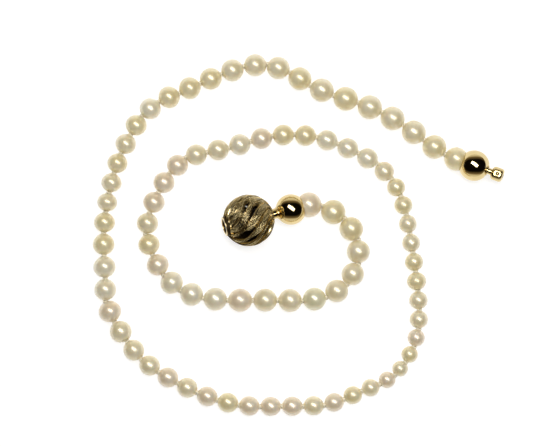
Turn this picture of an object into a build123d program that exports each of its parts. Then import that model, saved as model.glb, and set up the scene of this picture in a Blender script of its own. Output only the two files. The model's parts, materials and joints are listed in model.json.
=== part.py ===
"""A knotted pearl necklace with a swirl-banded gold ball clasp, lying coiled on a table.

Millimetres, +Z up, the table at Z = 0 and the coil's box centred on the origin. Eighty graduated pearls
are strung on silk with a knot between each two. They are made in stretches of four, and each stretch turns
on its neighbour at the knot between them. A gold end ball is cupped on the last pearl at each end. The
outer one carries the clasp's tongue, and the inner one a neck on which the big clasp ball turns.
"""

from build123d import *
from math import asin, cos, degrees, radians, sin, sqrt
import os

# The strand's line on the table, from the outer end to the inner end.
ROUTE = [
    (42.0, 17.5), (39.0, 18.5), (28.5, 25.5), (18.0, 31.5), (12.0, 33.5), (6.0, 35.5),
    (0.5, 38.5), (-4.5, 41.5), (-10.0, 42.0), (-16.0, 40.5), (-21.0, 38.5), (-31.0, 34.0),
    (-36.0, 31.5), (-39.5, 27.0), (-44.0, 18.0), (-46.5, 8.5), (-47.5, -1.5), (-47.0, -12.5),
    (-46.5, -18.5), (-43.5, -23.0), (-40.5, -28.0), (-32.5, -34.5), (-22.5, -39.5),
    (-12.5, -42.0), (-1.5, -42.0), (8.5, -41.5), (18.0, -37.5), (22.0, -36.0), (27.5, -30.0),
    (29.5, -25.5), (30.0, -16.5), (29.0, -7.5), (27.5, 2.0), (25.0, 11.0), (22.0, 15.5),
    (13.5, 21.0), (3.0, 24.5), (-8.0, 24.0), (-18.5, 21.0), (-29.0, 18.0), (-32.0, 14.0),
    (-36.5, 4.5), (-37.0, -1.0), (-34.5, -6.5), (-31.5, -11.5), (-26.5, -14.5),
    (-14.5, -16.0), (-2.5, -16.0), (4.0, -16.0), (10.0, -14.0), (14.0, -10.0),
    (15.5, -4.5), (14.0, 1.5), (9.5, 5.7), (2.5, 7.9), (-1.5, 7.3),
]

# Pearls: a graduated row, given as (pearl number, diameter), with straight steps between.
PEARL_COUNT = 80
GRADUATION = [
    (1, 5.9), (6, 6.05), (9, 5.65), (15, 5.2), (20, 4.6), (22, 5.3), (26, 5.4), (28, 5.15),
    (36, 5.0), (39, 4.4), (41, 3.9), (44, 4.45), (46, 4.5), (51, 4.5), (53, 5.2), (60, 5.25),
    (66, 5.15), (71, 5.95), (76, 5.6), (80, 6.2),
]
PEARLS_PER_STRETCH = 4
STRETCH_COUNT = PEARL_COUNT // PEARLS_PER_STRETCH
DRILL_RADIUS = 0.40
MOUTH_RADIUS = 0.55

# Silk: a doubled thread, with a knot in the middle of each gap between pearls.
KNOT_GAP = 0.248
SILK_RADIUS = 0.30
KNOT_RADIUS = 0.45
SILK_BREAK = 0.10

# The silk's two ends: how far the thread stops short of a pearl's side, and its last knot off the cup.
THREAD_START = 0.05
END_KNOT_CLEARANCE = 0.03

# End balls: thin gold shells, each with a cup for the last pearl and a flat land for its fitting.
END_BALL_RADIUS = 3.8
END_BALL_WALL = 0.4
LAND_HEIGHT = 3.35
CUP_DISTANCE = 4.7
CUP_CLEARANCE = 0.15
SILK_HOLE_RADIUS = 0.45
END_KNOT_RADIUS = 0.65
STEM_RADIUS = 0.8
STEM_DEPTH = 0.85

# Clasp ball: twelve swirled bands between two collars, on a core.
CLASP_RADIUS = 6.4
CLASP_DISTANCE = 10.9
BAND_COUNT = 12
BAND_THICKNESS = 0.55
BAND_SPACE = 0.35
BAND_TWIST = -115.0
COLLAR_RADIUS = 2.95
COLLAR_OUT = 5.95
COLLAR_IN = 4.85
CORE_RADIUS = 2.4
SOCKET_OUT = 6.3
SOCKET_RADIUS = 1.8
SOCKET_LENGTH = 4.4
GROOVE_RADIUS = 2.05
GROOVE_WIDTH = 0.9

# Neck: the fixed post on which the clasp ball turns.
NECK_RADIUS = 1.3
NECK_CLEARANCE = 0.05
NECK_FLANGE_RADIUS = 1.6
NECK_FLANGE = 0.3
WASHER_RADIUS = 1.75
WASHER_THICKNESS = 0.35
RIVET_RADIUS = 1.1
RIVET_HEIGHT = 0.3
POCKET_RADIUS = 2.1
POCKET_DEPTH = 1.1

# Tongue: a barrel head on a short pin, with a sprung ball in its side.
TONGUE_FLANGE_RADIUS = 1.3
TONGUE_FLANGE = 0.25
HEAD_RADIUS = 1.7
HEAD_START = 4.6
HEAD_END = 7.5
HEAD_ROUNDING = 0.7
DETENT_HEIGHT = 6.1
DETENT_RADIUS = 0.45
DETENT_STANDS_OUT = 0.30
DETENT_HOLE_RADIUS = 0.5
DETENT_HOLE_FLOOR = 0.4
DETENT_RING_RADIUS = 0.85
DETENT_RING_DEPTH = 0.12
SPRING_RADIUS = 0.34
SPRING_WIRE_RADIUS = 0.06
SPRING_TURNS = 4

# How often the search for the next knot along the strand's line halves its step.
HALVINGS = 40

# The way each end points in plan, in degrees from +X.
OUTER_HEADING = -21.0
INNER_HEADING = 194.5


def pearl_diameter(number):
    """The diameter of one pearl, read off the graduation."""
    for (low, low_size), (high, high_size) in zip(GRADUATION, GRADUATION[1:]):
        if low <= number <= high:
            share = (number - low) / (high - low)
            return low_size + share * (high_size - low_size)
    raise ValueError(number)


def point_at_distance(line, start_share, start, distance):
    """The next point along the line that is the given straight distance from start, found by halving."""
    low = start_share
    high = min(1.0, start_share + 3 * distance / line.length)
    for _ in range(HALVINGS):
        middle = (low + high) / 2
        if (line.position_at(middle) - start).length < distance:
            low = middle
        else:
            high = middle
    return high, line.position_at(high)


def knot_points(diameters):
    """The middles of the knots, from before pearl 1 to after the last pearl."""
    line = Spline(*ROUTE)
    heights = [diameters[0] / 2]
    heights += [(a + b) / 4 for a, b in zip(diameters, diameters[1:])]
    heights += [diameters[-1] / 2]
    share, flat = 0.0, line.position_at(0)
    points = [Vector(flat.X, flat.Y, heights[0])]
    for number, diameter in enumerate(diameters, start=1):
        climb = heights[number] - heights[number - 1]
        reach = sqrt((diameter + KNOT_GAP) ** 2 - climb**2)
        share, flat = point_at_distance(line, share, flat, reach)
        points.append(Vector(flat.X, flat.Y, heights[number]))
    return points


def rod(radius, bottom, top):
    """A cylinder about Z from one height to another."""
    standing = (Align.CENTER, Align.CENTER, Align.MIN)
    return Pos(0, 0, bottom) * Cylinder(radius, top - bottom, align=standing)


def ring(inner, outer, bottom, top):
    """A flat-ended ring about Z."""
    return rod(outer, bottom, top) - rod(inner, bottom, top)


def rod_between(radius, start, end):
    """A cylinder from one point to another."""
    along = Plane(origin=start, z_dir=end - start)
    return along.location * rod(radius, 0, (end - start).length)


def pearl(before, after, diameter):
    """One drilled pearl, its mouths cupped round the knots at its two ends."""
    body = Sphere(diameter / 2) - rod(DRILL_RADIUS, -diameter, diameter)
    half = (after - before).length / 2
    for knot_height in (-half, half):
        body -= Pos(0, 0, knot_height) * Sphere(MOUTH_RADIUS)
    drilled = Plane(origin=(before + after) / 2, z_dir=after - before)
    return (drilled.location * body).solid()


def knot(middle, along):
    """One knot, a small ball in the gap between two pearls."""
    upright = Plane(origin=middle, x_dir=(-along.Y, along.X, 0), z_dir=(0, 0, 1))
    return upright.location * Sphere(KNOT_RADIUS)


def silk_stretch(points, ends_at_knot):
    """The thread through one stretch of pearls, with the knots inside it and the one after it.

    It starts just short of the knot before it, inside the pearl's mouth. The necklace's last stretch, which
    has no knot after it, stops short in the same way.
    """
    short = KNOT_RADIUS + SILK_BREAK
    start = points[0] + (points[1] - points[0]).normalized() * short
    end = points[-1]
    knots = points[1:]
    if not ends_at_knot:
        end = points[-1] + (points[-2] - points[-1]).normalized() * short
        knots = points[1:-1]
    path = [start, *points[1:-1], end]
    silk = rod_between(SILK_RADIUS, path[0], path[1])
    for middle, after in zip(knots, [*path[2:], 2 * end - path[-2]]):
        silk += knot(middle, after - middle)
    for run_start, run_end in zip(path[1:], path[2:]):
        silk += rod_between(SILK_RADIUS, run_start, run_end)
    return silk.solid()


def end_ball(pearl_radius):
    """A hollow end ball about its own middle: the cup at -Z, the land and its stem hole at +Z."""
    cup_radius = pearl_radius + CUP_CLEARANCE
    cup_middle = Pos(0, 0, -CUP_DISTANCE)
    hollow = Sphere(END_BALL_RADIUS - END_BALL_WALL) - cup_middle * Sphere(cup_radius + END_BALL_WALL)
    hollow -= rod(END_BALL_RADIUS, LAND_HEIGHT - END_BALL_WALL, END_BALL_RADIUS)
    ball = Sphere(END_BALL_RADIUS) - cup_middle * Sphere(cup_radius)
    ball -= rod(END_BALL_RADIUS, LAND_HEIGHT, END_BALL_RADIUS + 1)
    ball -= hollow
    ball -= rod(SILK_HOLE_RADIUS, -CUP_DISTANCE, 0)
    ball -= rod(STEM_RADIUS, 0, LAND_HEIGHT)
    return ball.solid()


def silk_end(pearl_radius):
    """The end of the silk, from the last pearl to the knot held behind the cup."""
    cup_back = -CUP_DISTANCE + pearl_radius + CUP_CLEARANCE + END_BALL_WALL
    knot_height = cup_back + sqrt(END_KNOT_RADIUS**2 - SILK_HOLE_RADIUS**2)
    knot_height += END_KNOT_CLEARANCE
    thread = rod(SILK_RADIUS, -CUP_DISTANCE + pearl_radius + THREAD_START, knot_height)
    return (thread + Pos(0, 0, knot_height) * Sphere(END_KNOT_RADIUS)).solid()


def tongue():
    """The outer end's tongue, about the end ball's middle: stem, flange, pin and barrel head."""
    head = rod(HEAD_RADIUS, HEAD_START, HEAD_END)
    head = fillet(head.edges().filter_by(GeomType.CIRCLE), HEAD_ROUNDING)
    body = rod(STEM_RADIUS, LAND_HEIGHT - STEM_DEPTH, HEAD_START + HEAD_ROUNDING)
    body += rod(TONGUE_FLANGE_RADIUS, LAND_HEIGHT, LAND_HEIGHT + TONGUE_FLANGE)
    body += head
    sideways = Pos(0, 0, DETENT_HEIGHT) * Rot(-90, 0, 0)
    body -= sideways * rod(DETENT_HOLE_RADIUS, DETENT_HOLE_FLOOR, HEAD_RADIUS + 1)
    body -= sideways * rod(DETENT_RING_RADIUS, HEAD_RADIUS - DETENT_RING_DEPTH, HEAD_RADIUS + 1)
    return body.solid()


def detent_ball():
    """The sprung ball in the tongue's side."""
    middle = HEAD_RADIUS + DETENT_STANDS_OUT - DETENT_RADIUS
    return (Pos(0, middle, DETENT_HEIGHT) * Sphere(DETENT_RADIUS)).solid()


def detent_spring():
    """The coil spring under the ball, resting on the floor of its hole."""
    ball_underside = HEAD_RADIUS + DETENT_STANDS_OUT - 2 * DETENT_RADIUS
    height = ball_underside - DETENT_HOLE_FLOOR - 2 * SPRING_WIRE_RADIUS
    line = Helix(pitch=height / SPRING_TURNS, height=height, radius=SPRING_RADIUS)
    section = Plane(origin=line @ 0, z_dir=line % 0) * Circle(SPRING_WIRE_RADIUS)
    coil = sweep(section, path=line, is_frenet=True)
    base = Pos(0, DETENT_HOLE_FLOOR + SPRING_WIRE_RADIUS, DETENT_HEIGHT) * Rot(-90, 0, 0)
    return (base * coil).solid()


def neck_post():
    """The inner end's neck: stem, flange, the shaft that the clasp ball turns on, and a rivet head."""
    shoulder = CLASP_DISTANCE - COLLAR_IN + NECK_CLEARANCE
    tip = shoulder + WASHER_THICKNESS
    post = rod(STEM_RADIUS, LAND_HEIGHT - STEM_DEPTH, tip)
    post += rod(NECK_FLANGE_RADIUS, LAND_HEIGHT, LAND_HEIGHT + NECK_FLANGE)
    post += rod(NECK_RADIUS, LAND_HEIGHT, shoulder)
    post += rod(RIVET_RADIUS, tip, tip + RIVET_HEIGHT)
    return post.solid()


def swivel_washer():
    """The washer under the rivet head, which keeps the clasp ball on its neck."""
    shoulder = CLASP_DISTANCE - COLLAR_IN + NECK_CLEARANCE
    return ring(STEM_RADIUS, WASHER_RADIUS, shoulder, shoulder + WASHER_THICKNESS).solid()


def neck_collar():
    """The clasp ball's collar round the neck. Heights run from the clasp ball's middle."""
    return ring(NECK_RADIUS + NECK_CLEARANCE, COLLAR_RADIUS, -COLLAR_OUT, -COLLAR_IN).solid()


def socket_collar():
    """The clasp ball's collar round the mouth of its socket."""
    return ring(CORE_RADIUS, COLLAR_RADIUS, COLLAR_IN, COLLAR_OUT).solid()


def core_sleeve():
    """The core down the clasp ball's middle: the washer's pocket at one end, the grooved socket at the other.

    It is solid between the two.
    """
    socket_floor = SOCKET_OUT - SOCKET_LENGTH
    groove_middle = SOCKET_OUT - (DETENT_HEIGHT - LAND_HEIGHT)
    core = rod(CORE_RADIUS, -COLLAR_IN, SOCKET_OUT)
    core -= rod(POCKET_RADIUS, -COLLAR_IN, -COLLAR_IN + POCKET_DEPTH)
    core -= rod(SOCKET_RADIUS, socket_floor, SOCKET_OUT)
    core -= rod(GROOVE_RADIUS, groove_middle - GROOVE_WIDTH / 2, groove_middle + GROOVE_WIDTH / 2)
    return core.solid()


def swirl_bands():
    """The twelve bands of the clasp ball: one twisted slice of a round shell, turned about the axis."""
    shell = Sphere(CLASP_RADIUS) - Sphere(CLASP_RADIUS - BAND_THICKNESS)
    shell -= rod(COLLAR_RADIUS, -CLASP_RADIUS, CLASP_RADIUS)
    half = radians(180 / BAND_COUNT) - BAND_SPACE / 2 / CLASP_RADIUS
    reach = CLASP_RADIUS + 1
    out, side = reach * cos(half), reach * sin(half)
    slice_lines = Polyline((0, 0), (out, -side), (out, side), (0, 0))
    slice_face = Pos(0, 0, -reach) * make_face(slice_lines)
    wedge = Solid.extrude_linear_with_rotation(
        slice_face.face(),
        center=(0, 0, -reach),
        normal=(0, 0, 2 * reach),
        angle=BAND_TWIST * reach / CLASP_RADIUS,
    )
    band = (shell & wedge).solid()
    return [band.rotate(Axis.Z, 360 * turn / BAND_COUNT) for turn in range(BAND_COUNT)]


def end_frame(middle, heading, climb):
    """A frame whose +Z runs outward along an end's axis and whose +Y looks up."""
    level = cos(radians(climb))
    outward = Vector(level * cos(radians(heading)), level * sin(radians(heading)), sin(radians(climb)))
    side = Vector(0, 0, 1).cross(outward)
    return Plane(origin=middle, z_dir=outward, x_dir=side)


def strand(diameters, knots):
    """Every stretch's pearls and silk, by node name."""
    nodes = {}
    for stretch in range(STRETCH_COUNT):
        first = stretch * PEARLS_PER_STRETCH
        last = first + PEARLS_PER_STRETCH
        pearls = [pearl(knots[i], knots[i + 1], diameters[i]) for i in range(first, last)]
        nodes[f"pearls_{stretch + 1:02d}"] = pearls
        ends_at_knot = last < PEARL_COUNT
        nodes[f"silk_{stretch + 1:02d}"] = [silk_stretch(knots[first : last + 1], ends_at_knot)]
    return nodes


def outer_end(frame, pearl_radius):
    """The outer end's pieces, by node name."""
    pieces = {
        "end_ball_outer": end_ball(pearl_radius),
        "silk_end_outer": silk_end(pearl_radius),
        "tongue": tongue(),
        "detent_ball": detent_ball(),
        "detent_spring": detent_spring(),
    }
    return {name: [frame.location * piece] for name, piece in pieces.items()}


def inner_end(frame, pearl_radius):
    """The inner end's pieces, by node name."""
    pieces = {
        "end_ball_inner": end_ball(pearl_radius),
        "silk_end_inner": silk_end(pearl_radius),
        "neck_post": neck_post(),
        "swivel_washer": swivel_washer(),
    }
    return {name: [frame.location * piece] for name, piece in pieces.items()}


def clasp_ball(frame):
    """The clasp ball's pieces, by node name."""
    pieces = {
        "swirl_bands": swirl_bands(),
        "neck_collar": [neck_collar()],
        "socket_collar": [socket_collar()],
        "core_sleeve": [core_sleeve()],
    }
    return {name: [frame.location * solid for solid in solids] for name, solids in pieces.items()}


DIAMETERS = [pearl_diameter(number) for number in range(1, PEARL_COUNT + 1)]
KNOTS = knot_points(DIAMETERS)
FIRST_PEARL = (KNOTS[0] + KNOTS[1]) / 2
LAST_PEARL = (KNOTS[-2] + KNOTS[-1]) / 2

# The outer end ball rests on the table. The inner one hangs between the last pearl and the clasp ball,
# which both rest on it.
OUTER_CLIMB = degrees(asin((END_BALL_RADIUS - FIRST_PEARL.Z) / CUP_DISTANCE))
INNER_CLIMB = degrees(asin((CLASP_RADIUS - LAST_PEARL.Z) / (CUP_DISTANCE + CLASP_DISTANCE)))
OUTER_PEARL_FRAME = end_frame(FIRST_PEARL, OUTER_HEADING, OUTER_CLIMB)
INNER_PEARL_FRAME = end_frame(LAST_PEARL, INNER_HEADING, INNER_CLIMB)
OUTER_FRAME = OUTER_PEARL_FRAME.offset(CUP_DISTANCE)
INNER_FRAME = INNER_PEARL_FRAME.offset(CUP_DISTANCE)
CLASP_FRAME = INNER_FRAME.offset(CLASP_DISTANCE)

NODES = strand(DIAMETERS, KNOTS)
NODES |= outer_end(OUTER_FRAME, DIAMETERS[0] / 2)
NODES |= inner_end(INNER_FRAME, DIAMETERS[-1] / 2)
NODES |= clasp_ball(CLASP_FRAME)

# The origin is the middle of the coil's box, at the table.
BOX = Compound([solid for solids in NODES.values() for solid in solids]).bounding_box()
SHIFT = Vector(-BOX.center().X, -BOX.center().Y, -BOX.min.Z)

os.makedirs("parts", exist_ok=True)
for name, solids in NODES.items():
    placed = [Pos(*SHIFT) * solid for solid in solids]
    shape = placed[0] if len(placed) == 1 else Compound(placed)
    export_step(shape, f"parts/{name}.step")
print("box", BOX.size, "shift", SHIFT)
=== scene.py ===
"""A knotted pearl necklace with a swirl-banded gold ball clasp, coiled on a white table.

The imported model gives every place: the pearls' middles and sizes come from its pearl nodes, and the clasp's
axes from its joints. Lengths are metres. MM turns the sizes named here, which are millimetres, into metres.
"""

import json
import math
import random

import bmesh
import bpy
import numpy as np
from mathutils import Matrix, Vector, noise


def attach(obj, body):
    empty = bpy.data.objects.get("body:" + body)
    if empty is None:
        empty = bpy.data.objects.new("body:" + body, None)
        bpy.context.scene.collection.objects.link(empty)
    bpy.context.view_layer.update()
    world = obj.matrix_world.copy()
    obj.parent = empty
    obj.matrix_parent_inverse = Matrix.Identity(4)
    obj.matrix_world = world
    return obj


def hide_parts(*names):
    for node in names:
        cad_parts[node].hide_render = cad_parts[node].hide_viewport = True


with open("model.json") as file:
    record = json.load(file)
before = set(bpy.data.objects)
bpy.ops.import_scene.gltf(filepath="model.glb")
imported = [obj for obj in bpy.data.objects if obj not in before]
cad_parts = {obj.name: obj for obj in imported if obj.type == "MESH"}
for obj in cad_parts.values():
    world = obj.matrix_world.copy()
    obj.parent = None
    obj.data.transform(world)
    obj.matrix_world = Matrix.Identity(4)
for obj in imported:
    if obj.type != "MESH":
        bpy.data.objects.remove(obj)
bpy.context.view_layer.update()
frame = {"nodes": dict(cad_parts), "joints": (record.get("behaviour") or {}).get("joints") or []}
MM = 0.001

# Strand.
PEARLS_PER_STRETCH = 4
PEARL_SEGMENTS = 64
PEARL_SKIN_STEPS = 44
MOUTH_STEPS = 3
DRILL_RADIUS = 0.40
MOUTH_RADIUS = 0.66
SILK_BREAK = 0.10

# Silk: two plies twisted round each other, and knots of a thicker ply.
PLY_RADIUS = 0.15
PLY_OFFSET = 0.14
PLY_PITCH = 1.1
PLY_SIDES = 7
STEPS_PER_TURN = 10
KNOT_RADIUS = 0.72
KNOT_PLY_SHARE = 0.36
KNOT_STEPS = 54
KNOT_SIDES = 8

# How wide a pearl is across its drill hole for its length along it, as (pearl number, share).
WIDTH_SHARES = [
    (1, 1.0), (5, 0.98), (9, 0.98), (12, 0.99), (14, 1.04), (18, 1.05), (20, 1.11), (22, 1.02), (25, 1.05),
    (27, 0.98), (31, 0.95), (34, 0.93), (37, 0.94), (40, 1.0), (43, 1.0), (46, 1.08), (48, 0.96), (50, 1.0),
    (54, 0.97), (58, 1.0), (62, 1.0), (65, 1.04), (68, 1.05), (71, 0.98), (75, 1.0), (80, 1.0),
]
OFF_ROUND = 0.010
WIDTH_SPREAD = 0.015
SEED_SPREAD = 90

# End balls.
END_BALL_RADIUS = 3.8
END_BALL_WALL = 0.4
END_BALL_SEGMENTS = 160
LAND_HEIGHT = 3.35
CUP_DISTANCE = 4.7
CUP_CLEARANCE = 0.15
SILK_HOLE_RADIUS = 0.45
END_KNOT_RADIUS = 0.62
STEM_RADIUS = 0.8
STEM_DEPTH = 0.85
SILK_START = 0.12

# Neck and tongue.
NECK_RADIUS = 1.3
NECK_FLANGE_RADIUS = 1.6
NECK_FLANGE = 0.3
RIVET_RADIUS = 1.1
POCKET_RADIUS = 2.1
POCKET_DEPTH = 1.1
HEAD_RADIUS = 1.7
HEAD_START = 4.6
HEAD_END = 7.5
HEAD_ROUNDING = 0.75
HEAD_DIMPLE = 0.14
TONGUE_FLANGE_RADIUS = 1.3
DETENT_HEIGHT = 6.1
DETENT_RADIUS = 0.45
DETENT_STANDS_OUT = 0.30
SEAT_BORE = 0.5
SEAT_RIM = 0.88

# Clasp ball.
CLASP_RADIUS = 6.4
CLASP_DISTANCE = 10.9
COLLAR_RADIUS = 2.95
COLLAR_OUT = 5.95
COLLAR_IN = 4.85
CORE_RADIUS = 2.4
SOCKET_OUT = 6.3
SOCKET_RADIUS = 1.8
SOCKET_LENGTH = 4.4
GROOVE_RADIUS = 2.05
GROOVE_WIDTH = 0.9
BAND_COUNT = 12
BAND_TWIST = -115.0
BAND_THICKNESS = 0.32
COLLAR_TEETH = 24
NOTCH_DEPTH = 0.045

# View: straight down on the coil, from about the height of the lamp.
VIEW_MIDDLE = Vector((-4.6, 2.9, 2.7)) * MM
VIEW_WIDTH = 137.3 * MM
VIEW_DISTANCE = 0.45
SENSOR_WIDTH = 36.0

# Studio.
TABLE_HALF = 2.0
LAMP_SIZE = (0.46, 0.16)
LAMP_PLACE = Vector((0.02, 0.10, 0.45))
LAMP_TURN = -25
LAMP_ENERGY = 1.75
SIDE_SHARE = 0.60


# ---------------------------------------------------------------- shapes

def joint_place(name):
    """A joint's point and axis at rest."""
    joint = next(j for j in frame["joints"] if j["name"] == name)
    return Vector(joint["pos_m"]), Vector(joint["axis"])


def upright_frame(origin, outward):
    """A placing matrix whose +Z is outward and whose +Y looks up."""
    z = outward.normalized()
    x = Vector((0, 0, 1)).cross(z).normalized()
    y = z.cross(x)
    turn = Matrix((x, y, z)).transposed().to_4x4()
    return Matrix.Translation(origin) @ turn


def new_object(name, vertices, faces, place=None):
    """A smooth mesh object from points in millimetres."""
    mesh = bpy.data.meshes.new(name)
    mesh.from_pydata([Vector(v) * MM for v in vertices], [], faces)
    mesh.validate()
    built = bmesh.new()
    built.from_mesh(mesh)
    bmesh.ops.recalc_face_normals(built, faces=built.faces)
    built.to_mesh(mesh)
    built.free()
    mesh.shade_smooth()
    piece = bpy.data.objects.new(name, mesh)
    bpy.context.scene.collection.objects.link(piece)
    if place is not None:
        piece.matrix_world = place
    return piece


def lathe(name, profile, segments, place=None):
    """A closed profile of (radius, height) points turned about Z. A zero radius is on the axis."""
    vertices, rings = [], []
    for radius, height in profile:
        if radius < 1e-6:
            rings.append([len(vertices)] * segments)
            vertices.append((0, 0, height))
            continue
        rings.append([len(vertices) + k for k in range(segments)])
        for k in range(segments):
            angle = math.tau * k / segments
            vertices.append((radius * math.cos(angle), radius * math.sin(angle), height))
    faces = []
    for a, b in zip(rings, rings[1:] + rings[:1]):
        for k in range(segments):
            n = (k + 1) % segments
            corners = list(dict.fromkeys((a[k], a[n], b[n], b[k])))
            if len(corners) > 2:
                faces.append(corners)
    return new_object(name, vertices, faces, place)


def arc(middle, radius, start, end, steps):
    """Points of a circle in the (radius, height) plane, angles in degrees from +radius towards +height."""
    points = []
    for k in range(steps + 1):
        angle = math.radians(start + (end - start) * k / steps)
        points.append((middle[0] + radius * math.cos(angle), middle[1] + radius * math.sin(angle)))
    return points


def sphere_meeting(distance, near_radius, far_radius):
    """Where two spheres on the Z axis cross: the height over the near one's middle, and the radius."""
    height = (distance**2 + near_radius**2 - far_radius**2) / (2 * distance)
    return height, math.sqrt(near_radius**2 - height**2)


def sharpen_edges(piece, degrees=32):
    """Smooth shading that keeps the edges sharper than the angle."""
    chosen = {"selected_objects": [piece], "selected_editable_objects": [piece]}
    with bpy.context.temp_override(object=piece, active_object=piece, **chosen):
        bpy.ops.object.shade_smooth_by_angle(angle=math.radians(degrees))


def interpolate(steps, at):
    """The value at a place on a short list of (place, value) pairs."""
    places, values = zip(*steps)
    return float(np.interp(at, places, values))


# ---------------------------------------------------------------- materials

class Shader:
    """A small helper that adds nodes to one material and links them."""

    def __init__(self, name):
        self.material = bpy.data.materials.new(name)
        self.material.use_nodes = True
        self.tree = self.material.node_tree
        self.surface = self.tree.nodes["Principled BSDF"]

    def add(self, kind, **values):
        node = self.tree.nodes.new(kind)
        for key, value in values.items():
            if key in node.inputs:
                node.inputs[key].default_value = value
            else:
                setattr(node, key, value)
        return node

    def link(self, source, target):
        self.tree.links.new(source, target)

    def set(self, **values):
        for key, value in values.items():
            self.surface.inputs[key.replace("_", " ")].default_value = value

    def noise(self, vector, scale, detail=4.0, roughness=0.5):
        node = self.add("ShaderNodeTexNoise", Scale=scale, Detail=detail, Roughness=roughness)
        self.link(vector, node.inputs["Vector"])
        return node.outputs["Fac"]

    def ramp(self, factor, *stops):
        node = self.add("ShaderNodeValToRGB")
        elements = node.color_ramp.elements
        while len(elements) < len(stops):
            elements.new(0.5)
        for element, (place, colour) in zip(elements, stops):
            element.position = place
            element.color = (*colour, 1)
        self.link(factor, node.inputs["Fac"])
        return node.outputs["Color"]

    def span(self, factor, low, high):
        node = self.add("ShaderNodeMapRange")
        node.inputs["To Min"].default_value = low
        node.inputs["To Max"].default_value = high
        self.link(factor, node.inputs["Value"])
        return node.outputs["Result"]

    def bump(self, height, distance, strength=1.0):
        node = self.add("ShaderNodeBump")
        node.inputs["Strength"].default_value = strength
        node.inputs["Distance"].default_value = distance
        self.link(height, node.inputs["Height"])
        return node.outputs["Normal"]


def nacre(name, pale, deep, bloom):
    """Pearl: a body colour that clouds from deep to pale to its bloom, and a soft lustre under a gloss."""
    s = Shader(name)
    place = s.add("ShaderNodeTexCoord").outputs["Object"]
    clouds = s.noise(place, 420, detail=3.0)
    s.link(s.ramp(clouds, (0.30, deep), (0.52, pale), (0.72, bloom)), s.surface.inputs["Base Color"])
    grain = s.noise(place, 2600, detail=2.0)
    s.link(s.span(grain, 0.27, 0.35), s.surface.inputs["Roughness"])
    s.link(s.bump(grain, 0.000012, 0.35), s.surface.inputs["Normal"])
    s.set(Metallic=0.20, IOR=1.60, Coat_Weight=0.6, Coat_Roughness=0.31, Coat_IOR=1.65)
    s.set(Subsurface_Weight=0.25, Subsurface_Radius=(1.0, 0.8, 0.55), Subsurface_Scale=0.0012)
    return s.material


def polished_gold(name, roughness=0.07):
    """Polished yellow gold, with faint polishing marks."""
    s = Shader(name)
    place = s.add("ShaderNodeTexCoord").outputs["Object"]
    tone = s.noise(place, 300, detail=2.0)
    colour = s.ramp(tone, (0.35, (0.68, 0.54, 0.27)), (0.65, (0.73, 0.59, 0.31)))
    s.link(colour, s.surface.inputs["Base Color"])
    marks = s.noise(place, 5200, detail=3.0)
    s.link(s.span(marks, roughness * 0.7, roughness * 1.5), s.surface.inputs["Roughness"])
    s.link(s.bump(marks, 0.000004, 0.25), s.surface.inputs["Normal"])
    s.set(Metallic=1.0)
    return s.material


def band_gold_painted_shade(name):
    """The bands' gold: grain drawn along each band, its lines made near black by painted shade, with a fine
    sparkle.
    """
    s = Shader(name)
    flat = s.add("ShaderNodeUVMap", uv_map="band").outputs["UV"]
    stretch = s.add("ShaderNodeMapping")
    stretch.inputs["Scale"].default_value = (0.22, 4.2, 1.0)
    s.link(flat, stretch.inputs["Vector"])
    drawn = s.noise(stretch.outputs["Vector"], 1.3, detail=5.0, roughness=0.65)
    place = s.add("ShaderNodeTexCoord").outputs["Object"]
    sparkle = s.noise(place, 4200, detail=3.0, roughness=0.7)
    # The near-black stop is painted shade in the grain's lines, where the bump sinks them; the bright stop is
    # the gold's own colour.
    dark, middle, bright = (0.05, 0.036, 0.013), (0.36, 0.28, 0.12), (0.84, 0.71, 0.42)
    colour = s.ramp(drawn, (0.38, dark), (0.49, middle), (0.60, bright))
    s.link(colour, s.surface.inputs["Base Color"])
    s.link(s.span(sparkle, 0.08, 0.26), s.surface.inputs["Roughness"])
    mixed = s.add("ShaderNodeMath", operation="MULTIPLY_ADD")
    s.link(drawn, mixed.inputs[0])
    mixed.inputs[1].default_value = 5.0
    s.link(sparkle, mixed.inputs[2])
    s.link(s.bump(mixed.outputs[0], 0.00006, 1.0), s.surface.inputs["Normal"])
    s.set(Metallic=1.0)
    return s.material


def inner_gold_painted_shade(name):
    """The unpolished gold inside the clasp ball, its colour near black: painted shade for the hollow's
    inside.
    """
    s = Shader(name)
    place = s.add("ShaderNodeTexCoord").outputs["Object"]
    tone = s.noise(place, 1500)
    # Near-black colour: painted shade inside the hollow ball.
    colour = s.ramp(tone, (0.3, (0.030, 0.020, 0.009)), (0.7, (0.075, 0.052, 0.022)))
    s.link(colour, s.surface.inputs["Base Color"])
    s.link(s.bump(tone, 0.00003, 0.6), s.surface.inputs["Normal"])
    s.set(Metallic=1.0, Roughness=0.6)
    return s.material


def silk_cloth(name):
    """Cream silk with a soft sheen and fine filaments."""
    s = Shader(name)
    place = s.add("ShaderNodeTexCoord").outputs["Object"]
    fibre = s.noise(place, 7000, detail=3.0)
    colour = s.ramp(fibre, (0.3, (0.85, 0.78, 0.57)), (0.7, (0.94, 0.88, 0.72)))
    s.link(colour, s.surface.inputs["Base Color"])
    s.link(s.bump(fibre, 0.00002, 0.6), s.surface.inputs["Normal"])
    s.set(Roughness=0.55, Sheen_Weight=0.2, Sheen_Roughness=0.35)
    return s.material


def spring_steel(name):
    """Bright spring wire."""
    s = Shader(name)
    place = s.add("ShaderNodeTexCoord").outputs["Object"]
    tone = s.noise(place, 4000)
    colour = s.ramp(tone, (0.3, (0.52, 0.52, 0.53)), (0.7, (0.66, 0.66, 0.67)))
    s.link(colour, s.surface.inputs["Base Color"])
    s.link(s.span(tone, 0.15, 0.30), s.surface.inputs["Roughness"])
    s.set(Metallic=1.0)
    return s.material


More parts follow.
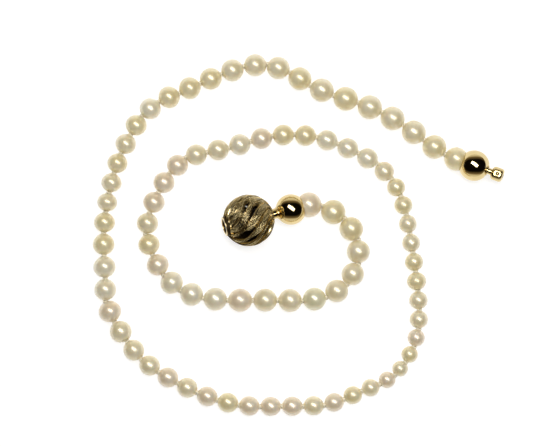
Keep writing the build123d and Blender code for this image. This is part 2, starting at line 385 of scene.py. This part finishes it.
NACRES = {
    "cream": nacre("nacre_cream", (0.92, 0.82, 0.57), (0.87, 0.75, 0.46), (0.93, 0.84, 0.62)),
    "warm": nacre("nacre_warm", (0.91, 0.80, 0.50), (0.86, 0.72, 0.39), (0.92, 0.82, 0.56)),
    "silver": nacre("nacre_silver", (0.93, 0.85, 0.64), (0.89, 0.79, 0.54), (0.94, 0.88, 0.70)),
    "rose": nacre("nacre_rose", (0.92, 0.79, 0.59), (0.87, 0.71, 0.49), (0.93, 0.82, 0.65)),
    "green": nacre("nacre_green", (0.88, 0.83, 0.58), (0.82, 0.77, 0.49), (0.90, 0.86, 0.63)),
}
GOLD = polished_gold("gold_polished")
BAND_GOLD_SHADED = band_gold_painted_shade("gold_grain_painted_shade")
INNER_GOLD_SHADED = inner_gold_painted_shade("gold_inside_painted_shade")
SATIN = polished_gold("gold_satin", 0.20)
SILK = silk_cloth("silk_thread")
STEEL = spring_steel("steel_wire")


def finish_piece(piece, body, slot, material, *replaced):
    """Puts a piece on its body, in its material, in place of its CAD nodes."""
    if material is not None:
        piece.data.materials.append(material)
    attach(piece, body)
    if replaced:
        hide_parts(*replaced)
    return piece


# ---------------------------------------------------------------- strand

def islands(mesh):
    """The point groups of a mesh's separate surfaces, largest first."""
    points = np.zeros(len(mesh.vertices) * 3)
    mesh.vertices.foreach_get("co", points)
    points = points.reshape(-1, 3)
    edges = np.zeros(len(mesh.edges) * 2, int)
    mesh.edges.foreach_get("vertices", edges)
    edges = edges.reshape(-1, 2)
    label = np.arange(len(points))
    while True:
        low = np.minimum(label[edges[:, 0]], label[edges[:, 1]])
        new = label.copy()
        np.minimum.at(new, edges[:, 0], low)
        np.minimum.at(new, edges[:, 1], low)
        new = new[new]
        if (new == label).all():
            break
        label = new
    groups = [points[label == value] for value in np.unique(label)]
    return sorted(groups, key=len, reverse=True)


def strand_pearls(stretch_count):
    """Every pearl's middle and radius in order from the outer end, read from the pearl nodes."""
    pearls = []
    last, _ = joint_place("end_swing_outer")
    for stretch in range(1, stretch_count + 1):
        node = frame["nodes"][f"pearls_{stretch:02d}"]
        left = []
        for points in islands(node.data)[:PEARLS_PER_STRETCH]:
            low, high = Vector(points.min(0)), Vector(points.max(0))
            left.append(((low + high) / 2, (high.z - low.z) / 2))
        while left:
            left.sort(key=lambda pearl: (pearl[0] - last).length)
            pearls.append(left.pop(0))
            last = pearls[-1][0]
    return pearls


def strand_knots(pearls):
    """The knots' middles. A pearl is midway between its two, and a joint is at every fourth one."""
    count = len(pearls)
    knots = [None] * (count + 1)
    for index in range(PEARLS_PER_STRETCH, count, PEARLS_PER_STRETCH):
        knots[index], _ = joint_place(f"strand_bend_{index // PEARLS_PER_STRETCH:02d}")
    for index in range(PEARLS_PER_STRETCH - 1, -1, -1):
        knots[index] = 2 * pearls[index][0] - knots[index + 1]
    for index in range(PEARLS_PER_STRETCH + 1, count + 1):
        if knots[index] is None:
            knots[index] = 2 * pearls[index - 1][0] - knots[index - 1]
    return knots


def pearl_profile(radius, half_pitch):
    """A drilled pearl's outline, with its mouths cupped for the knots."""
    rim_height, rim_radius = sphere_meeting(half_pitch, radius, MOUTH_RADIUS)
    rim_angle = math.degrees(math.asin(rim_height / radius))
    cup_low = half_pitch - math.sqrt(MOUTH_RADIUS**2 - DRILL_RADIUS**2)
    cup_start = math.degrees(math.atan2(cup_low - half_pitch, DRILL_RADIUS))
    cup_end = math.degrees(math.atan2(rim_height - half_pitch, rim_radius))
    mouth = arc((0, half_pitch), MOUTH_RADIUS, cup_start, cup_end, MOUTH_STEPS)
    skin = arc((0, 0), radius, rim_angle, -rim_angle, PEARL_SKIN_STEPS)[1:-1]
    other_mouth = [(r, -h) for r, h in reversed(mouth)]
    hole = [(DRILL_RADIUS, -cup_low * 0.5), (DRILL_RADIUS, cup_low * 0.5)]
    return mouth + skin + other_mouth + hole


def pearl_tint(number, draw):
    """Which nacre a pearl has: a few given one by one, the rest drawn."""
    if number == 74:
        return "green"
    if number in (25, 33, 34, 37, 64, 67, 71):
        return "rose"
    return draw.choices(["cream", "warm", "silver", "rose"], weights=[6, 4, 3, 2])[0]


def make_pearl(number, middle, radius, before, after, body, draw):
    """One pearl, a little off round, its unevenness seeded at random."""
    half_pitch = (after - before).length / 2 / MM
    size = radius / MM
    across = interpolate(WIDTH_SHARES, number) * draw.uniform(1 - WIDTH_SPREAD, 1 + WIDTH_SPREAD)
    lift = size * (across - 1) * MM
    axis = (after - before).normalized()
    place = upright_frame(middle + Vector((0, 0, lift)), axis)
    piece = lathe(f"pearl_{number:02d}", pearl_profile(size, half_pitch), PEARL_SEGMENTS)
    seed = Vector([draw.uniform(-SEED_SPREAD, SEED_SPREAD) for _ in range(3)])
    for vertex in piece.data.vertices:
        co = vertex.co / MM
        away = math.hypot(co.x, co.y)
        share = min(1.0, max(0.0, (away - 1.3 * DRILL_RADIUS) / size))
        wave = noise.noise(co * 0.35 + seed) + 0.25 * noise.noise(co * 1.1 + seed)
        grow = 1 + share * (across - 1 + 2 * OFF_ROUND * wave)
        vertex.co = Vector((co.x * grow, co.y * grow, co.z * (1 + share * OFF_ROUND * wave))) * MM
    piece.matrix_world = place
    return finish_piece(piece, body, "pearl", NACRES[pearl_tint(number, draw)])


def frames_along(points):
    """For each point of a line: the point, and two directions across the line that turn with it."""
    made = []
    across = None
    for index, point in enumerate(points):
        before, after = points[max(index - 1, 0)], points[min(index + 1, len(points) - 1)]
        along = (after - before).normalized()
        if across is None:
            across = along.orthogonal().normalized()
        across = (across - along * across.dot(along)).normalized()
        made.append((point, across, along.cross(across)))
    return made


def tube(points, radius, sides):
    """The points and faces of a capped tube along a line."""
    vertices, faces = [], []
    for point, across, up in frames_along(points):
        for k in range(sides):
            angle = math.tau * k / sides
            vertices.append(point + radius * (math.cos(angle) * across + math.sin(angle) * up))
    last = (len(points) - 1) * sides
    for a in range(0, last, sides):
        b = a + sides
        for k in range(sides):
            n = (k + 1) % sides
            faces.append((a + k, a + n, b + n, b + k))
    faces.append(tuple(range(sides)))
    faces.append(tuple(last + k for k in range(sides)))
    return vertices, faces


def add_part(vertices, faces, part):
    """Adds one shape's points and faces to a growing mesh."""
    first = len(vertices)
    vertices += part[0]
    faces += [tuple(first + index for index in face) for face in part[1]]


def twisted_thread(vertices, faces, start, end, turn):
    """Two plies of thread twisted round each other between two points. Returns the turn it ends on."""
    length = (end - start).length
    steps = max(6, int(length / PLY_PITCH * STEPS_PER_TURN))
    along = (end - start).normalized()
    across = along.orthogonal().normalized()
    up = along.cross(across)
    for ply in range(2):
        line = []
        for step in range(steps + 1):
            share = step / steps
            angle = turn + math.tau * share * length / PLY_PITCH + math.pi * ply
            off = PLY_OFFSET * (math.cos(angle) * across + math.sin(angle) * up)
            line.append(start + (end - start) * share + off)
        add_part(vertices, faces, tube(line, PLY_RADIUS, PLY_SIDES))
    return turn + math.tau * length / PLY_PITCH


def tied_knot(vertices, faces, middle, along, radius):
    """A pulled-down overhand knot: a trefoil of thread round the line, as flat as it is wide."""
    ply = radius * KNOT_PLY_SHARE
    scale = (radius - ply) / 3
    across = along.orthogonal().normalized()
    up = along.cross(across)
    line = []
    for step in range(KNOT_STEPS):
        t = math.tau * step / KNOT_STEPS
        x = scale * (math.sin(t) + 2 * math.sin(2 * t))
        y = scale * (math.cos(t) - 2 * math.cos(2 * t))
        z = -1.5 * scale * math.sin(3 * t)
        line.append(middle + x * across + y * up + z * along)
    add_part(vertices, faces, tube(line + line[:1], ply, KNOT_SIDES))


def make_silk(name, points, ends_at_knot, body, node):
    """One stretch of silk through its pearls, with its knots. Points are the knots' middles."""
    vertices, faces, turn = [], [], 0.0
    short = KNOT_RADIUS + SILK_BREAK
    path = list(points)
    path[0] = path[0] + (path[1] - path[0]).normalized() * short
    if not ends_at_knot:
        path[-1] = path[-1] + (path[-2] - path[-1]).normalized() * short
    for start, end in zip(path, path[1:]):
        turn = twisted_thread(vertices, faces, start, end, turn)
    for index in range(1, len(points) if ends_at_knot else len(points) - 1):
        along = (points[index] - points[index - 1]).normalized()
        tied_knot(vertices, faces, points[index], along, KNOT_RADIUS)
    piece = new_object(name, vertices, faces)
    return finish_piece(piece, body, "silk", SILK, node)


def make_strand():
    """All pearls and silk, each riding on its stretch's body."""
    draw = random.Random(7)
    stretch_count = sum(name.startswith("pearls_") for name in frame["nodes"])
    pearls = strand_pearls(stretch_count)
    knots = strand_knots(pearls)
    for stretch in range(stretch_count):
        first = stretch * PEARLS_PER_STRETCH
        last = first + PEARLS_PER_STRETCH
        body = f"strand_{stretch + 1:02d}"
        made = []
        for index in range(first, last):
            middle, radius = pearls[index]
            made.append(make_pearl(index + 1, middle, radius, knots[index], knots[index + 1], body, draw))
        for piece in made:
            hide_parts(f"pearls_{stretch + 1:02d}")
        points = [knot / MM for knot in knots[first : last + 1]]
        make_silk(f"thread_{stretch + 1:02d}", points, last < len(pearls), body, f"silk_{stretch + 1:02d}")
    return pearls


# ---------------------------------------------------------------- end balls, neck and tongue

def make_end_ball(name, place, pearl_radius, body, node):
    """A hollow polished ball, cupped for the last pearl and flattened for its fitting."""
    cup = pearl_radius + CUP_CLEARANCE
    rim_height, _ = sphere_meeting(CUP_DISTANCE, END_BALL_RADIUS, cup)
    rim_angle = math.degrees(math.asin(-rim_height / END_BALL_RADIUS))
    cup_rim = math.degrees(math.acos((CUP_DISTANCE - rim_height) / cup))
    hole_angle = math.degrees(math.asin(SILK_HOLE_RADIUS / cup))
    land_radius = math.sqrt(END_BALL_RADIUS**2 - LAND_HEIGHT**2)
    land_angle = math.degrees(math.asin(LAND_HEIGHT / END_BALL_RADIUS))
    inner = END_BALL_RADIUS - END_BALL_WALL
    back = cup + END_BALL_WALL
    back_height, _ = sphere_meeting(CUP_DISTANCE, inner, back)
    back_rim = math.degrees(math.acos((CUP_DISTANCE - back_height) / back))
    back_hole = math.degrees(math.asin(SILK_HOLE_RADIUS / back))
    ceiling = LAND_HEIGHT - END_BALL_WALL
    profile = arc((0, -CUP_DISTANCE), cup, 90 - hole_angle, 90 - cup_rim + 1.2, 24)
    profile += arc((0, 0), END_BALL_RADIUS, rim_angle + 1.0, land_angle - 0.8, 96)
    profile += [(land_radius - 0.06, LAND_HEIGHT), (STEM_RADIUS, LAND_HEIGHT), (STEM_RADIUS, ceiling)]
    inner_top = math.degrees(math.asin(ceiling / inner))
    inner_foot = math.degrees(math.asin(-back_height / inner))
    profile += arc((0, 0), inner, inner_top, inner_foot, 30)
    profile += arc((0, -CUP_DISTANCE), back, 90 - back_rim, 90 - back_hole, 12)[1:]
    piece = lathe(name, profile, END_BALL_SEGMENTS, place)
    sharpen_edges(piece)
    return finish_piece(piece, body, "polished_gold", GOLD, node)


def make_silk_end(name, place, pearl_radius, body, node):
    """The silk's end, from the last pearl to its knot behind the cup."""
    cup_back = -CUP_DISTANCE + pearl_radius + CUP_CLEARANCE + END_BALL_WALL
    knot_height = cup_back + math.sqrt(END_KNOT_RADIUS**2 - SILK_HOLE_RADIUS**2) + 0.06
    vertices, faces = [], []
    start = Vector((0, 0, -CUP_DISTANCE + pearl_radius + SILK_START))
    knot = Vector((0, 0, knot_height))
    twisted_thread(vertices, faces, start, knot + Vector((0, 0, 0.3)), 0.0)
    tied_knot(vertices, faces, knot, Vector((0, 0, 1)), END_KNOT_RADIUS)
    piece = new_object(name, vertices, faces, place)
    return finish_piece(piece, body, "silk", SILK, node)


def rounded(points, radius, steps=5):
    """A profile with its corners rounded, apart from those given as (radius, height, "sharp")."""
    made = []
    count = len(points)
    for index, point in enumerate(points):
        corner = Vector(point[:2])
        if len(point) > 2 or corner.x < 1e-6:
            made.append(tuple(corner))
            continue
        before = (Vector(points[index - 1][:2]) - corner)
        after = (Vector(points[(index + 1) % count][:2]) - corner)
        cut = min(radius, before.length * 0.45, after.length * 0.45)
        start, end = corner + before.normalized() * cut, corner + after.normalized() * cut
        for step in range(steps + 1):
            t = step / steps
            made.append(tuple((1 - t) ** 2 * start + 2 * t * (1 - t) * corner + t * t * end))
    return made


def make_neck(place, body):
    """The neck: a flange on the end ball, a plain shaft, and the rivet head inside the clasp ball."""
    foot = LAND_HEIGHT - STEM_DEPTH
    flange_top = LAND_HEIGHT + NECK_FLANGE
    shoulder = CLASP_DISTANCE - COLLAR_IN + 0.05
    tip = shoulder + 0.35
    profile = [
        (0, foot), (STEM_RADIUS, foot), (STEM_RADIUS, LAND_HEIGHT, "sharp"),
        (NECK_FLANGE_RADIUS, LAND_HEIGHT), (NECK_FLANGE_RADIUS, flange_top),
        (NECK_RADIUS + 0.04, flange_top), (NECK_RADIUS - 0.10, flange_top + 0.12),
        (NECK_RADIUS, flange_top + 0.26), (NECK_RADIUS, shoulder), (STEM_RADIUS, shoulder, "sharp"),
        (STEM_RADIUS, tip, "sharp"), (RIVET_RADIUS, tip), (RIVET_RADIUS * 0.8, tip + 0.3), (0, tip + 0.3),
    ]
    piece = lathe("swivel_neck", rounded(profile, 0.09), 96, place)
    sharpen_edges(piece)
    return finish_piece(piece, body, "polished_gold", GOLD, "neck_post")


def make_tongue(place, body):
    """The tongue: flange, pin, and a rounded barrel head with the seat of its sprung ball."""
    foot = LAND_HEIGHT - STEM_DEPTH
    profile = [
        (0, foot), (STEM_RADIUS, foot), (STEM_RADIUS, LAND_HEIGHT, "sharp"),
        (TONGUE_FLANGE_RADIUS, LAND_HEIGHT), (TONGUE_FLANGE_RADIUS, LAND_HEIGHT + 0.25),
        (STEM_RADIUS, LAND_HEIGHT + 0.30), (STEM_RADIUS, HEAD_START - 0.02),
    ]
    corner = HEAD_RADIUS - HEAD_ROUNDING
    head = arc((corner, HEAD_START + HEAD_ROUNDING), HEAD_ROUNDING, -90, 0, 10)
    head += arc((corner, HEAD_END - HEAD_ROUNDING), HEAD_ROUNDING, 0, 90, 10)
    dimple = HEAD_END - HEAD_DIMPLE
    head += [(corner * 0.8, HEAD_END), (corner * 0.7, dimple), (0, dimple)]
    piece = lathe("tongue_body", rounded(profile, 0.08) + head, 128)
    seat = [
        (0, 0.4), (SEAT_BORE, 0.4), (SEAT_BORE, HEAD_RADIUS - 0.14),
        (SEAT_RIM, HEAD_RADIUS - 0.12), (SEAT_RIM, 3), (0, 3),
    ]
    cut = lathe("detent_cut", seat, 48)
    sideways = Matrix.Rotation(-math.pi / 2, 4, "X")
    cut.matrix_world = Matrix.Translation(Vector((0, 0, DETENT_HEIGHT)) * MM) @ sideways
    bpy.context.view_layer.update()
    modifier = piece.modifiers.new("seat", "BOOLEAN")
    modifier.object = cut
    modifier.operation = "DIFFERENCE"
    modifier.solver = "EXACT"
    bpy.context.view_layer.update()
    evaluated = piece.evaluated_get(bpy.context.evaluated_depsgraph_get())
    finished = bpy.data.meshes.new_from_object(evaluated)
    piece.modifiers.clear()
    piece.data = finished
    bpy.data.objects.remove(cut)
    piece.data.shade_smooth()
    sharpen_edges(piece, 28)
    piece.matrix_world = place
    return finish_piece(piece, body, "polished_gold", SATIN, "tongue")


def make_detent(place, body):
    """The sprung ball in the tongue's side."""
    middle = HEAD_RADIUS + DETENT_STANDS_OUT - DETENT_RADIUS
    up = place @ Matrix.Translation(Vector((0, middle, DETENT_HEIGHT)) * MM)
    piece = lathe("detent_dome", arc((0, 0), DETENT_RADIUS, -90, 90, 24), 40, up)
    return finish_piece(piece, body, "polished_gold", GOLD, "detent_ball")


# ---------------------------------------------------------------- clasp ball

def band_line(turn, height):
    """A band's middle azimuth at a height along the clasp's axis."""
    start = -(CLASP_RADIUS + 1)
    return math.radians(turn + BAND_TWIST * (height - start) / (2 * CLASP_RADIUS))


def lens(place, middle, half_length):
    """How open a gap is along a band: 1 at its middle, 0 past its ends."""
    away = abs(place - middle) / half_length
    return 0.0 if away >= 1 else math.cos(away * math.pi / 2) ** 1.3


# The gap beside each band: its middle along the band, half its length, and its width in degrees.
BAND_GAPS = [
    (0.50, 0.20, 4), (0.60, 0.22, 5), (0.66, 0.30, 17), (0.70, 0.32, 21),
    (0.36, 0.26, 18), (0.26, 0.24, 21), (0.575, 0.16, 14), (0.465, 0.16, 15),
    (0.30, 0.16, 10), (0.60, 0.22, 5), (0.45, 0.24, 4), (0.70, 0.20, 4),
]
BAND_STEPS = 150
BAND_CROSS_STEPS = 64
BAND_POLE_RADIUS = 2.5
BAND_TUCK = 0.75
BAND_CROWN = 0.18
BAND_RIM = 0.20
BAND_RIM_AT = 0.93
BAND_RIM_HALF = 0.045
BAND_RIM_START = 0.875
STREAK_DEPTH = 0.10


def band_radius(number, share, v):
    """A band's outer surface at a place along and across it: one edge tucked in, the other rimmed."""
    textured = min(1.0, max(0.0, (0.88 - v) / 0.05)) * min(1.0, v / 0.08)
    streak = noise.noise(Vector((share * 3, v * 17, number * 7.3)))
    streak += 0.6 * noise.noise(Vector((share * 8, v * 33, number * 3.1)))
    tuck = BAND_TUCK * max(0.0, 1 - v / 0.34) ** 2
    rim = BAND_RIM * math.exp(-(((v - BAND_RIM_AT) / BAND_RIM_HALF) ** 2))
    fall = 0.16 * max(0.0, (v - 0.97) / 0.03) ** 2
    crown = BAND_CROWN * math.sin(math.pi * min(1.0, v / 0.9))
    radius = CLASP_RADIUS - 0.30 + crown + rim + STREAK_DEPTH * textured * streak - tuck - fall
    return min(radius, CLASP_RADIUS - 0.01)


def make_band(number, place, body):
    """One swirled band: streaked along its length, its leading edge rimmed, its other edge tucked in."""
    half = 180.0 / BAND_COUNT
    middle, half_length, width = BAND_GAPS[number]
    turn = 360.0 * number / BAND_COUNT
    start = math.asin(BAND_POLE_RADIUS / CLASP_RADIUS)
    vertices, faces, flat = [], [], []
    for i in range(BAND_STEPS + 1):
        share = i / BAND_STEPS
        angle = start + share * (math.pi - 2 * start)
        azimuth = band_line(turn, CLASP_RADIUS * math.cos(angle))
        near_pole = max(0.0, 1 - share / 0.15) ** 1.5 + 0.3 * max(0.0, 1 - (1 - share) / 0.10)
        low = width * lens(share, middle, half_length) + 14 * near_pole - half - 2.2
        high = half - 0.6 - 12 * near_pole + 0.5 * noise.noise(Vector((share * 7, number * 5.7, 0)))
        ring = []
        for j in range(BAND_CROSS_STEPS + 1):
            v = j / BAND_CROSS_STEPS
            ring.append((band_radius(number, share, v), azimuth + math.radians(low + (high - low) * v), v))
        inside = [(radius - BAND_THICKNESS, turned, v) for radius, turned, v in reversed(ring[::4])]
        for radius, turned, v in ring + inside:
            away = radius * math.sin(angle)
            vertices.append((away * math.cos(turned), away * math.sin(turned), radius * math.cos(angle)))
            flat.append((share * CLASP_RADIUS * math.pi, v * 3.3))
    loop = len(vertices) // (BAND_STEPS + 1)
    for i in range(BAND_STEPS):
        for j in range(loop):
            n = (j + 1) % loop
            faces.append((i * loop + j, i * loop + n, (i + 1) * loop + n, (i + 1) * loop + j))
    faces.append(tuple(range(loop)))
    faces.append(tuple(BAND_STEPS * loop + j for j in range(loop)))
    piece = new_object(f"swirl_band_{number + 1:02d}", vertices, faces, place)
    layer = piece.data.uv_layers.new(name="band")
    for corner in piece.data.loops:
        layer.data[corner.index].uv = flat[corner.vertex_index]
    # The bands' inner faces take the near-black gold: painted shade inside the ball.
    for material in (BAND_GOLD_SHADED, SATIN, INNER_GOLD_SHADED):
        piece.data.materials.append(material)
    rim_start = BAND_RIM_START * BAND_CROSS_STEPS
    for face in piece.data.polygons:
        across = [index % loop for index in face.vertices]
        inner = max(across) > BAND_CROSS_STEPS + 1 or len(across) > 4
        face.material_index = 2 if inner else 1 if min(across) >= rim_start else 0
    sharpen_edges(piece, 40)
    return finish_piece(piece, body, "brushed_gold", None, "swirl_bands")


def make_socket(place, body):
    """The socket's mouth and core: a rolled lip, the bore with its groove, and the washer's pocket."""
    floor = SOCKET_OUT - SOCKET_LENGTH
    groove = SOCKET_OUT - (DETENT_HEIGHT - LAND_HEIGHT)
    groove_low, groove_high = groove - GROOVE_WIDTH / 2, groove + GROOVE_WIDTH / 2
    pocket_end = -COLLAR_IN + POCKET_DEPTH
    profile = [
        (0, floor), (SOCKET_RADIUS, floor), (SOCKET_RADIUS, groove_low), (GROOVE_RADIUS, groove_low),
        (GROOVE_RADIUS, groove_high), (SOCKET_RADIUS, groove_high), (SOCKET_RADIUS, SOCKET_OUT),
        (CORE_RADIUS, SOCKET_OUT), (CORE_RADIUS, -COLLAR_IN), (POCKET_RADIUS, -COLLAR_IN),
        (POCKET_RADIUS, pocket_end), (0, pocket_end),
    ]
    piece = lathe("socket_core", rounded(profile, 0.14), 96, place)
    piece.data.materials.append(GOLD)
    piece.data.materials.append(INNER_GOLD_SHADED)
    # The core's outside and its end caps take the near-black gold: painted shade inside the ball.
    for face in piece.data.polygons:
        middle = face.center / MM
        outside = math.hypot(middle.x, middle.y) > CORE_RADIUS - 0.05 and abs(middle.z) < COLLAR_IN
        face.material_index = 1 if outside or len(face.vertices) == 3 else 0
    sharpen_edges(piece)
    return finish_piece(piece, body, "polished_gold", None, "core_sleeve")


def make_collar(name, inner, low, high, place, body, node):
    """A collar at a pole of the clasp ball, its outer edge notched where the bands meet it."""
    outer = BAND_POLE_RADIUS - 0.05 if low < 0 else COLLAR_RADIUS - 0.15
    profile = rounded([(inner, low), (outer, low), (outer, high), (inner, high)], 0.16)
    piece = lathe(name, profile, COLLAR_TEETH * 8)
    for vertex in piece.data.vertices:
        away = math.hypot(vertex.co.x, vertex.co.y) / MM
        angle = math.atan2(vertex.co.y, vertex.co.x)
        share = max(0.0, (away - inner - 0.2) / (outer - inner))
        notch = 1 - NOTCH_DEPTH * share * (0.5 + 0.5 * math.cos(angle * COLLAR_TEETH))
        vertex.co.x *= notch
        vertex.co.y *= notch
    piece.matrix_world = place
    sharpen_edges(piece)
    return finish_piece(piece, body, "polished_gold", GOLD, node)


def make_clasp(pearls):
    """Both end balls with their fittings, and the clasp ball."""
    outer = upright_frame(*joint_place("end_roll_outer"))
    inner = upright_frame(*joint_place("end_roll_inner"))
    clasp = upright_frame(*joint_place("ball_swivel"))
    first_radius, last_radius = pearls[0][1] / MM, pearls[-1][1] / MM
    make_end_ball("gold_ball_outer", outer, first_radius, "outer_end", "end_ball_outer")
    make_end_ball("gold_ball_inner", inner, last_radius, "inner_end", "end_ball_inner")
    make_silk_end("thread_end_outer", outer, first_radius, "outer_silk_end", "silk_end_outer")
    make_silk_end("thread_end_inner", inner, last_radius, "inner_silk_end", "silk_end_inner")
    make_tongue(outer, "outer_end")
    make_detent(outer, "detent")
    make_neck(inner, "inner_end")
    for number in range(BAND_COUNT):
        make_band(number, clasp, "clasp_ball")
    make_socket(clasp, "clasp_ball")
    under_tips = COLLAR_OUT - 0.55
    neck_bore = NECK_RADIUS + 0.05
    make_collar("collar_socket", CORE_RADIUS, COLLAR_IN, under_tips, clasp, "clasp_ball", "socket_collar")
    make_collar("collar_neck", neck_bore, -COLLAR_OUT, -COLLAR_IN, clasp, "clasp_ball", "neck_collar")
    for node, material in (("detent_spring", STEEL), ("swivel_washer", GOLD)):
        frame["nodes"][node].data.materials.clear()
        frame["nodes"][node].data.materials.append(material)


# ---------------------------------------------------------------- studio

def make_floor():
    """A white table that glows a little, as an opal table lit from below does."""
    corners = [(x * TABLE_HALF, y * TABLE_HALF, 0) for x, y in ((-1, -1), (1, -1), (1, 1), (-1, 1))]
    mesh = bpy.data.meshes.new("table_top")
    mesh.from_pydata(corners, [], [(0, 1, 2, 3)])
    floor = bpy.data.objects.new("table_top", mesh)
    bpy.context.scene.collection.objects.link(floor)
    s = Shader("table_white")
    s.set(Base_Color=(0.5, 0.5, 0.5, 1), Roughness=0.9, Specular_IOR_Level=0.0)
    s.set(Emission_Color=(1, 1, 1, 1), Emission_Strength=0.76)
    mesh.materials.append(s.material)


def make_lamp():
    """One long soft box beside the camera, its long side running from the upper left to the lower right."""
    data = bpy.data.lights.new("soft_box", "AREA")
    data.shape = "RECTANGLE"
    data.size, data.size_y = LAMP_SIZE
    data.energy = LAMP_ENERGY
    lamp = bpy.data.objects.new("soft_box", data)
    aim = (-LAMP_PLACE).to_track_quat("-Z", "Y").to_matrix().to_4x4()
    turn = Matrix.Rotation(math.radians(LAMP_TURN), 4, "Z")
    lamp.matrix_world = Matrix.Translation(LAMP_PLACE) @ aim @ turn
    bpy.context.scene.collection.objects.link(lamp)


def make_world():
    """A dark room, paler low down: the darkness reaches lowest to the left and the right."""
    world = bpy.data.worlds.new("studio")
    bpy.context.scene.world = world
    world.use_nodes = True
    tree = world.node_tree
    place = tree.nodes.new("ShaderNodeTexCoord")
    split = tree.nodes.new("ShaderNodeSeparateXYZ")
    ramp = tree.nodes.new("ShaderNodeValToRGB")
    stops = [
        (0.0, (0.90, 0.88, 0.82)), (0.24, (0.74, 0.70, 0.60)),
        (0.40, (0.22, 0.17, 0.10)), (0.70, (0.004, 0.003, 0.002)),
    ]
    while len(ramp.color_ramp.elements) < len(stops):
        ramp.color_ramp.elements.new(0.5)
    for element, (at, colour) in zip(ramp.color_ramp.elements, stops):
        element.position = at
        element.color = (*colour, 1)
    sideways = tree.nodes.new("ShaderNodeMath")
    sideways.operation = "MULTIPLY"
    height = tree.nodes.new("ShaderNodeMath")
    height.operation = "MULTIPLY_ADD"
    height.inputs[1].default_value = SIDE_SHARE
    tree.links.new(place.outputs["Generated"], split.inputs[0])
    tree.links.new(split.outputs["X"], sideways.inputs[0])
    tree.links.new(split.outputs["X"], sideways.inputs[1])
    tree.links.new(sideways.outputs[0], height.inputs[0])
    tree.links.new(split.outputs["Z"], height.inputs[2])
    tree.links.new(height.outputs[0], ramp.inputs["Fac"])
    tree.links.new(ramp.outputs["Color"], tree.nodes["Background"].inputs["Color"])


def make_camera():
    """Looks straight down, as far off as the lamp."""
    data = bpy.data.cameras.new("camera")
    data.sensor_width = SENSOR_WIDTH
    data.lens = VIEW_DISTANCE / VIEW_WIDTH * SENSOR_WIDTH
    data.clip_start, data.clip_end = 0.01, 20
    camera = bpy.data.objects.new("camera", data)
    camera.location = VIEW_MIDDLE + Vector((0, 0, VIEW_DISTANCE))
    bpy.context.scene.collection.objects.link(camera)
    bpy.context.scene.camera = camera


make_camera()
make_lamp()
make_world()
make_floor()
make_clasp(make_strand())
bpy.context.scene.view_settings.view_transform = "Standard"
